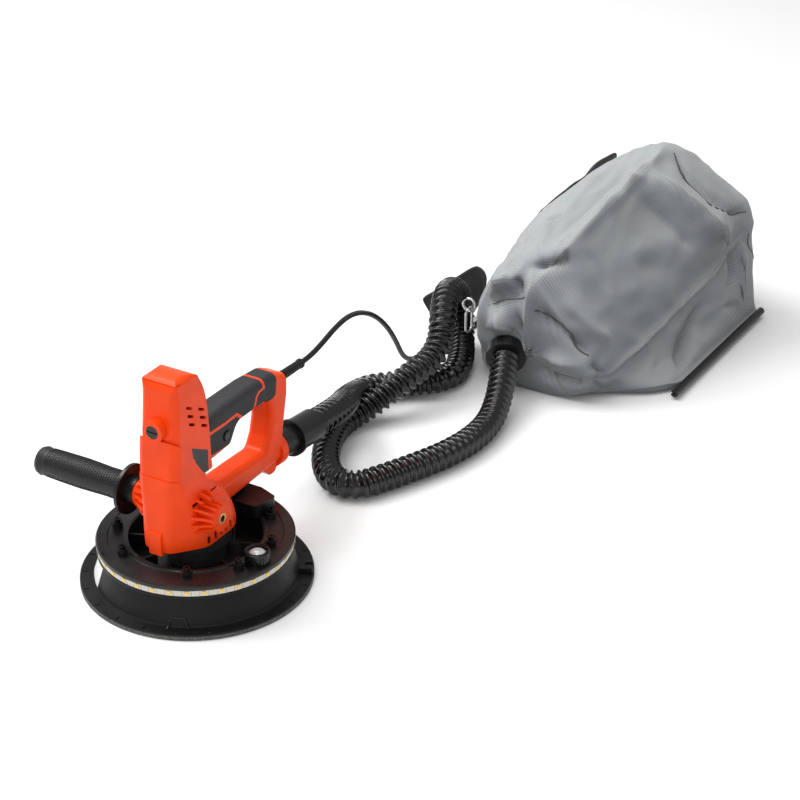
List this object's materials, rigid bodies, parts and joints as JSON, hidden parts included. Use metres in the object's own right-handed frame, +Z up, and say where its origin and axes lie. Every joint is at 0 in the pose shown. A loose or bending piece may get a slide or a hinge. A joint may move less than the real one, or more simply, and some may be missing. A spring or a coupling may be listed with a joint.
{
  "type": "drywall disc sander",
  "caption": "Hand-held drywall disc sander with D-handle, side handle, lit sanding head, dust hose, filled dust bag, shoulder strap and mains lead.",
  "frame": {"origin": "centre of the sanding disc's face, on the surface it rests on", "axes": "+Z up along the spindle, +X towards the rear handle and the dust hose, +Y towards the side handle"},
  "size_m": [1.2025, 0.4932, 0.281],
  "materials": {
    "orange_plastic": "fine spark-eroded texture with a soft sheen",
    "grey_rubber": "soft-touch, matt",
    "plate_black": "blank satin label",
    "head_black": "black satin with turned grooves",
    "skirt_black": "moulded, matt",
    "brush_grey": "short felt and bristle edge",
    "light_white": "flexible printed strip",
    "light_yellow": "phosphor chips",
    "black_screw": "black oxide",
    "steel": "ground",
    "clear_dome": "clear polycarbonate",
    "black_gloss": "moulded, semi-gloss",
    "black_moulded": "moulded, matt",
    "pad_plastic": "moulded, matt",
    "foam": "closed-cell foam",
    "abrasive": "coated abrasive on cloth",
    "cast_dark": "dark grey die casting",
    "copper": "enamelled wire and copper bars",
    "iron_core": "stacked laminations",
    "carbon": "pressed carbon",
    "brass": "machined",
    "knurled_black": "matt, diamond grid",
    "hose_black": "ribbed, glossy",
    "bag_grey": "nonwoven with a dotted grid of bonds",
    "strap_black": "woven webbing over foam",
    "nickel": "bright nickel plate",
    "cord_black": "matt jacket"
  },
  "bodies": {
    "sander": {"brush_ring": "brush_grey", "skirt": "skirt_black", "head_plate": "head_black", "light_strip": "light_white", "light_chips": "light_yellow", "plate_screws": "black_screw", "plate_duct": "black_moulded", "spindle_bearings": "steel", "motor_bearings": "steel", "gearcase_pan": "cast_dark", "gearcase_cover": "cast_dark", "motor_field": "iron_core", "field_coils": "copper", "carbon_brushes": "carbon", "brush_holders": "brass", "brush_springs": "steel", "brush_caps": "black_gloss", "housing_left": "orange_plastic", "housing_right": "orange_plastic", "grip_cover_left": "grey_rubber", "grip_cover_right": "grey_rubber", "name_plates": "plate_black", "housing_screws": "black_screw", "switch": "black_moulded", "handle_guard": "black_moulded", "handle_grip": "knurled_black", "handle_stud": "steel", "handle_inserts": "brass", "dust_spigot": "black_moulded", "hose_sleeve": "black_moulded", "dust_hose": "hose_black", "bag_collar": "black_moulded", "dust_bag": "bag_grey", "shoulder_pad": "strap_black", "strap_webbing": "strap_black", "snap_hook": "nickel", "bag_ring": "nickel", "cord_relief": "cord_black", "mains_lead": "cord_black", "lead_coil": "cord_black", "lead_tail": "cord_black", "plug_body": "cord_black", "plug_pins": "brass"},
    "pad_body": {"pad_plate": "pad_plastic", "pad_foam": "foam", "abrasive_disc": "abrasive", "pad_screw": "black_screw", "driven_gear": "steel", "spindle": "steel"},
    "rotor_body": {"motor_shaft": "steel", "armature_core": "iron_core", "armature_windings": "copper", "commutator": "copper", "cooling_fan": "black_moulded"},
    "trigger_body": {"trigger": "black_moulded"},
    "lock_button_body": {"lock_button": "black_moulded"},
    "regulator_body": {"regulator_cap": "black_gloss", "regulator_dome": "clear_dome"},
    "clip_body": {"bag_clip": "black_moulded"},
    "gate_body": {"hook_gate": "nickel"}
  },
  "joints": [
    {"name": "pad_spin", "type": "hinge", "parent": "sander", "child": "pad_body", "pos_m": [0, 0, 0.02], "axis": [0, 0, 1], "continuous": true},
    {"name": "motor_spin", "type": "hinge", "parent": "sander", "child": "rotor_body", "pos_m": [-0.031, 0, 0.15], "axis": [0, 0, 1], "continuous": true},
    {"name": "trigger_pull", "type": "slide", "parent": "sander", "child": "trigger_body", "axis": [0, 0, 1], "range_m": [0, 0.005], "stiffness_N_per_m": 900, "springref_m": -0.002},
    {"name": "lock_button_press", "type": "slide", "parent": "sander", "child": "lock_button_body", "axis": [0, 1, 0], "range_m": [0, 0.003], "stiffness_N_per_m": 500, "springref_m": -0.001},
    {"name": "regulator_turn", "type": "hinge", "parent": "sander", "child": "regulator_body", "pos_m": [-0.013, -0.094, 0.062], "axis": [0, 0, 1], "range_deg": [0, 270]},
    {"name": "clip_slide", "type": "slide", "parent": "sander", "child": "clip_body", "axis": [1, 0, 0], "range_m": [0, 0.285]},
    {"name": "hook_gate_open", "type": "hinge", "parent": "sander", "child": "gate_body", "pos_m": [0.622, -0.01, 0.058], "axis": [0, -1, 0], "range_deg": [0, 25], "stiffness_Nm_per_rad": 0.02, "springref_deg": -14.32}
  ],
  "couplings": [
    {"joint": "motor_spin", "follows": "pad_spin", "ratio": -5.8889}
  ]
}
